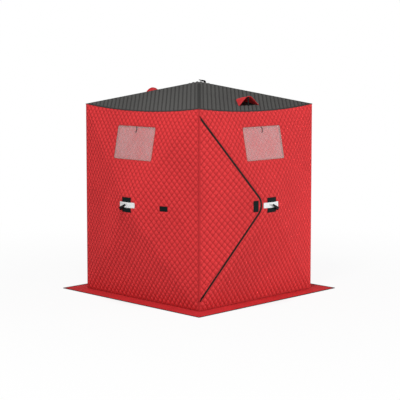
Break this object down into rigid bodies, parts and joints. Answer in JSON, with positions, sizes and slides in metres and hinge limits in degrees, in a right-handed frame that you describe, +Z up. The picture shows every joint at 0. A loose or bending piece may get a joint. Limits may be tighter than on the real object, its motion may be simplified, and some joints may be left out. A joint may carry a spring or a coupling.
{
  "type": "pop-up ice fishing shelter",
  "caption": "Pop-up fabric ice fishing shelter: quilted walls and roof pushed out by hubs, zipped corner door, clear windows, roof vents and a ground skirt.",
  "frame": {"origin": "on the ice under the middle of the shelter", "axes": "+Z up; the front wall with the door faces -Y; the left wall faces -X"},
  "size_m": [1.948, 1.948, 2.036],
  "materials": {
    "red_quilting": "diamond-quilted insulated polyester, red",
    "grey_quilting": "quilted insulated polyester, dark grey",
    "red_cloth": "plain coated polyester, red",
    "black_cloth": "black webbing and binding",
    "window_film": "clear flexible film",
    "reflective_strap": "silver reflective strap",
    "zip": "black coil zip and tape",
    "mesh": "black vent mesh",
    "black_plastic": "moulded black plastic",
    "fibreglass": "solid fibreglass rod, dark grey"
  },
  "bodies": {
    "shelter": {"back_roof_panel": "grey_quilting", "back_skirt": "red_cloth", "back_vent_hood": "red_cloth", "back_wall_bottom_panel": "red_quilting", "back_wall_left_panel": "red_quilting", "back_wall_poles": "fibreglass", "back_wall_right_panel": "red_quilting", "back_wall_top_panel": "red_quilting", "back_window": "window_film", "corner_sockets": "black_plastic", "door_stow_patch": "black_cloth", "door_zip": "zip", "front_roof_panel": "grey_quilting", "front_skirt": "red_cloth", "front_vent_hood": "red_cloth", "front_wall_bottom_panel": "red_quilting", "front_wall_door_surround": "red_quilting", "front_wall_poles": "fibreglass", "front_wall_right_panel": "red_quilting", "front_wall_top_panel": "red_quilting", "front_window": "window_film", "hub_hooks": "black_plastic", "hub_patches": "black_cloth", "hub_straps": "reflective_strap", "left_roof_panel": "grey_quilting", "left_skirt": "red_cloth", "left_wall_back_panel": "red_quilting", "left_wall_bottom_panel": "red_quilting", "left_wall_front_panel": "red_quilting", "left_wall_poles": "fibreglass", "left_wall_top_panel": "red_quilting", "left_window": "window_film", "right_roof_panel": "grey_quilting", "right_skirt": "red_cloth", "right_wall_back_panel": "red_quilting", "right_wall_bottom_panel": "red_quilting", "right_wall_front_panel": "red_quilting", "right_wall_poles": "fibreglass", "right_wall_top_panel": "red_quilting", "right_window": "window_film", "roof_hub": "black_plastic", "roof_poles": "fibreglass", "skirt_hem": "black_cloth", "vent_meshes": "mesh", "vent_props": "black_cloth", "wall_hubs": "black_plastic", "window_flaps": "red_quilting", "window_ties": "black_cloth"},
    "door": {"door_panel": "red_quilting", "door_tab": "black_cloth"}
  },
  "joints": [
    {"name": "door_fold", "type": "hinge", "parent": "shelter", "child": "door", "pos_m": [-0.767, -0.767, 0.9], "axis": [0, 0, -1], "range_deg": [0, 130]}
  ]
}
